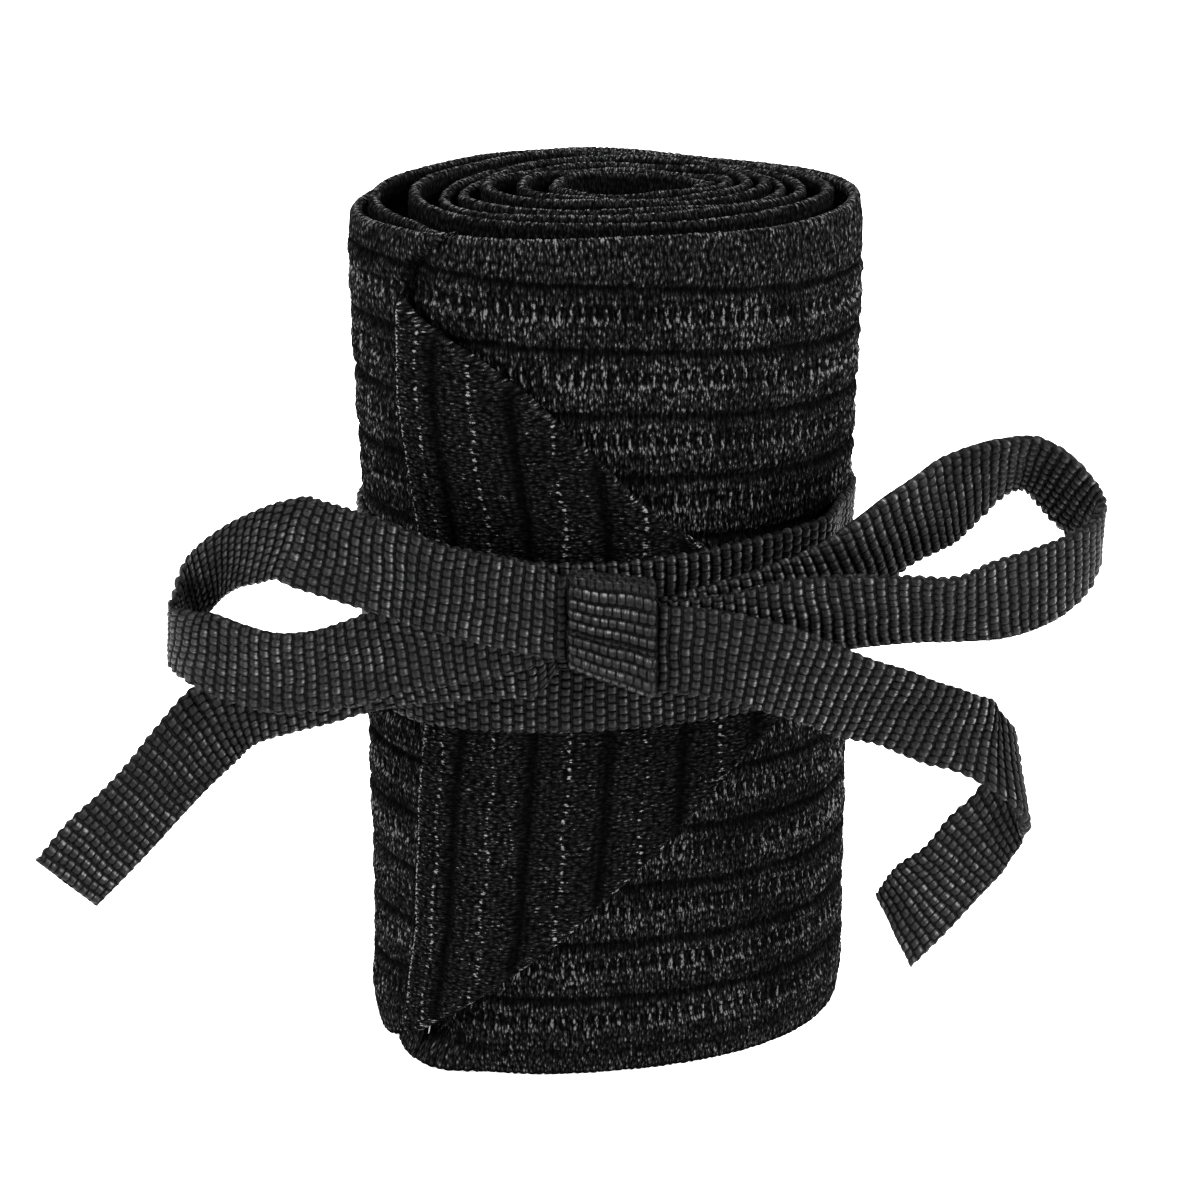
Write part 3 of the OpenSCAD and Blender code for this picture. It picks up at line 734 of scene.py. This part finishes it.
def flap(name, upper, seed):
    """A corner of the band folded out over the point. Its selvage stands upright, so its ribs do too."""
    n_a, n_z = 330, 250
    u = np.linspace(0, 1, n_a)[:, None]
    v = np.linspace(0, 1, n_z)[None, :]
    middle = 50.3 if upper else 49.7
    edge_z, edge_a = A(SELVAGE, float).T

    def first(z):
        return np.interp(z, edge_z, edge_a)

    # the face, from the middle line to the fold. The selvage's angle depends on the height, so the height comes twice
    a = 226 + (FLAP_TIP - 226) * u + 0 * v
    z = middle + (fold_z(a, upper) - middle) * v
    a = first(z) + (FLAP_TIP - first(z)) * u
    z_fold = fold_z(a, upper)
    z = middle + (z_fold - middle) * v
    q = arc_of(a) - arc_of(first(z))
    ph = (q - 4.6) / FLAP_RIB
    dg = (ph - np.round(ph)) * FLAP_RIB
    dm = (ph - np.floor(ph) - 0.5) * FLAP_RIB
    inside = ease((q - 3.4) / 1.2)
    f = (z + 0.45 * (noise(z / 2.5, q / 3, seed) - 0.5)) / 0.58
    row = np.floor(f)
    f = f - row - 0.5
    q1 = q + 0.6 * (row % 2) + 0.5 * (noise(row * 1.3, q / 2, seed + 2) - 0.5)
    brick = q1 / 1.25 - np.floor(q1 / 1.25) - 0.5
    own = hashed(row, np.floor(q1 / 1.25), seed + 9)
    ridge = np.sqrt(np.clip(1 - (2 * f) ** 2 * 0.97, 0, 1)) * np.clip(1 - (2 * brick) ** 4, 0, 1) ** 0.5
    ridge = ridge * (0.6 + 0.5 * own)
    groove = bump(dg, 0.7) * inside
    wave = 0.22 * np.sin(z / 1.7 + 2 * noise(z / 3, q * 0, seed + 11))
    bead = bump(dm + wave, 0.17) * inside
    seam = bump(q - 2.9 + wave, 0.17)
    dash = np.clip(0.1 + 1.2 * np.sin(2 * np.pi * z / 1.05 + q), 0, 1) * (0.25 + 0.95 * noise(z / 4, q, seed + 12))
    edge = bump(q - 0.3, 0.3)
    twist = 0.6 + 0.4 * np.sin(2 * np.pi * (z / 0.8 + q / 0.7))
    h = 0.2 * ridge * (1 - bead) * (1 - seam) - 0.42 * groove
    h += (0.16 * bead + 0.22 * seam) * dash + 0.3 * edge * twist
    h += 0.16 * (noise(q / 0.5, z / 0.35, seed + 3) - 0.5) + 0.25 * (noise(q / 5, z / 6, seed + 4) - 0.5)
    # painted shade: the tone darkens in the grooves between the ribs
    tone = (0.3 + 0.55 * ridge) * (1 - 0.75 * groove) * (0.65 + 0.7 * noise(q / 0.4, z / 0.3, seed + 6))
    tone = tone + (3.0 * bead + 3.0 * seam) * dash + 2.3 * edge * twist
    near_fold = bump(z - z_fold, 0.7) * ease((q - 1.0) / 2.0)
    rope = ease(np.sin(2 * np.pi * (q / 1.1 + (z - z_fold) / 1.6)) * 1.5)
    tone = tone + near_fold * (0.2 + 1.5 * rope * (noise(q / 2.2, z * 0, seed + 7) > 0.5))
    h = h + near_fold * 0.18 * (noise(q / 0.5, z / 0.5, seed + 8) - 0.3)
    tone = np.clip(tone, 0.02, 2.5)
    roll_down = 1.25 * (1 - np.sqrt(np.clip(1 - (np.clip(np.abs(z - z_fold), 0, 1.3) / 1.3 - 1) ** 2, 0, 1)))
    ease_edge = 0.5 * bump(q, 0.45)
    lie = slack_out(a, z) + climb(a) + 1.3
    face = outline(a) + polar(a) * (lie + h - 0.12 - roll_down - ease_edge)[..., None]
    face = np.concatenate([face, z[..., None]], -1)
    # behind the face, from the fold back to the middle line
    inner = outline(a) + polar(a) * (lie - 1.25)[..., None]
    inner = np.concatenate([inner, z[..., None]], -1)[:, ::-1]
    pick = np.unique(np.linspace(0, n_z - 1, 24).astype(int))
    rings = np.concatenate([face, inner[:, pick]], 1)
    # the back takes half the tone: painted shade on the side that lies against the roll
    tone = np.concatenate([tone, tone[:, ::-1][:, pick] * 0.5], 1)
    coords = np.concatenate([np.stack([q, z], -1), np.stack([q, z], -1)[:, ::-1][:, pick]], 1)
    return make(name, rings, tone, coords)


for name, upper, node, seed in (("folded_corner_upper", True, "point_flap_upper", 31),
                                ("folded_corner_lower", False, "point_flap_lower", 32)):
    ob = piece(flap(name, upper, seed), KNIT_BACK, "roll", [node])


# ---------------------------------------------------------------- knot
KNOT_Y, KNOT_HALF = -24.35, 2.85


def squared(v, power):
    """A sine or cosine pushed out towards a rounded box."""
    return np.sign(v) * np.abs(v) ** power


def knot():
    """Tape taken once round the crossed layers, from behind over the front and under again."""
    t = np.linspace(0, 2 * np.pi, 260, endpoint=False)
    edges = []
    for x, top, low in ((4.9, 64.2, 51.6), (-4.3, 65.4, 55.4)):
        zc, rz = (top + low) / 2, (top - low) / 2 - 0.4
        y = KNOT_Y - KNOT_HALF * squared(np.cos(t), 0.55)
        z = zc + rz * squared(np.sin(t), 0.55)
        edge = np.column_stack([np.full(len(t), x), y, z])
        edges.append(np.concatenate([edge, edge[:1]]))
    right, left = edges
    ob, _, _ = tape_skin("knot_wrap", right, left, 41, closed=True, back_fine=False, face=-1.0)
    return ob


piece(knot(), TAPE, "roll", ["tie_knot_wrap"])

# crossed layers inside the knot, seen only at its sides
u = np.linspace(0, 2 * np.pi, 120, endpoint=False)
rings = []
for x in np.linspace(-5.15, 5.15, 60):
    zc, rz = 58.9 - 0.2 * x - 0.1 * (x + 5), 4.9 + 0.12 * x
    yy = KNOT_Y - (1.95 + 0.12 * np.cos(6 * u)) * squared(np.cos(u), 0.5)
    zz = zc + (rz - 0.9) * squared(np.sin(u), 0.5)
    rings.append(np.column_stack([np.full(len(u), x), yy, zz]))
rings = A(rings)
_, tone, coords = weave(rings[..., 0], rings[..., 2] - 55, seed=44)
# their tone is halved: painted shade on the layers inside the knot
piece(make("knot_layers", rings, tone * 0.5, coords), TAPE, "roll", ["tie_knot_core"])

# anchor stitches under the strap stay as the CAD has them, in thread
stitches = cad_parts["tie_anchor_stitching"]
stitches.data.materials.clear()
stitches.data.materials.append(THREAD)

# ---------------------------------------------------------------- floor and light
bpy.ops.mesh.primitive_plane_add(size=14)
floor = bpy.context.object
floor.name = "floor"
mat, nt, bsdf = nodes_of("floor_pale")
bsdf.inputs["Base Color"].default_value = (0.93, 0.93, 0.93, 1)
bsdf.inputs["Emission Color"].default_value = (1, 1, 1, 1)
bsdf.inputs["Emission Strength"].default_value = 0.6
bsdf.inputs["Roughness"].default_value = 0.9
floor.data.materials.append(mat)

world = bpy.data.worlds.new("studio")
bpy.context.scene.world = world
world.use_nodes = True
world.node_tree.nodes["Background"].inputs["Color"].default_value = (1, 1, 1, 1)
world.node_tree.nodes["Background"].inputs["Strength"].default_value = 0.4


def area(name, loc, size, power, aim=(0, 0, 0.05)):
    lamp = bpy.data.lights.new(name, "AREA")
    lamp.shape, lamp.size, lamp.energy = "SQUARE", size, power
    ob = bpy.data.objects.new(name, lamp)
    ob.location = loc
    ob.rotation_euler = (Vector(aim) - Vector(loc)).to_track_quat("-Z", "Y").to_euler()
    bpy.context.scene.collection.objects.link(ob)


area("left_softbox", (-0.66, -0.22, 0.42), 0.42, 16)
area("right_softbox", (0.66, -0.24, 0.36), 0.42, 17)
area("top_softbox", (0.05, 0.22, 0.8), 0.4, 10)

view = bpy.context.scene.view_settings
view.view_transform, view.look = "Standard", "None"
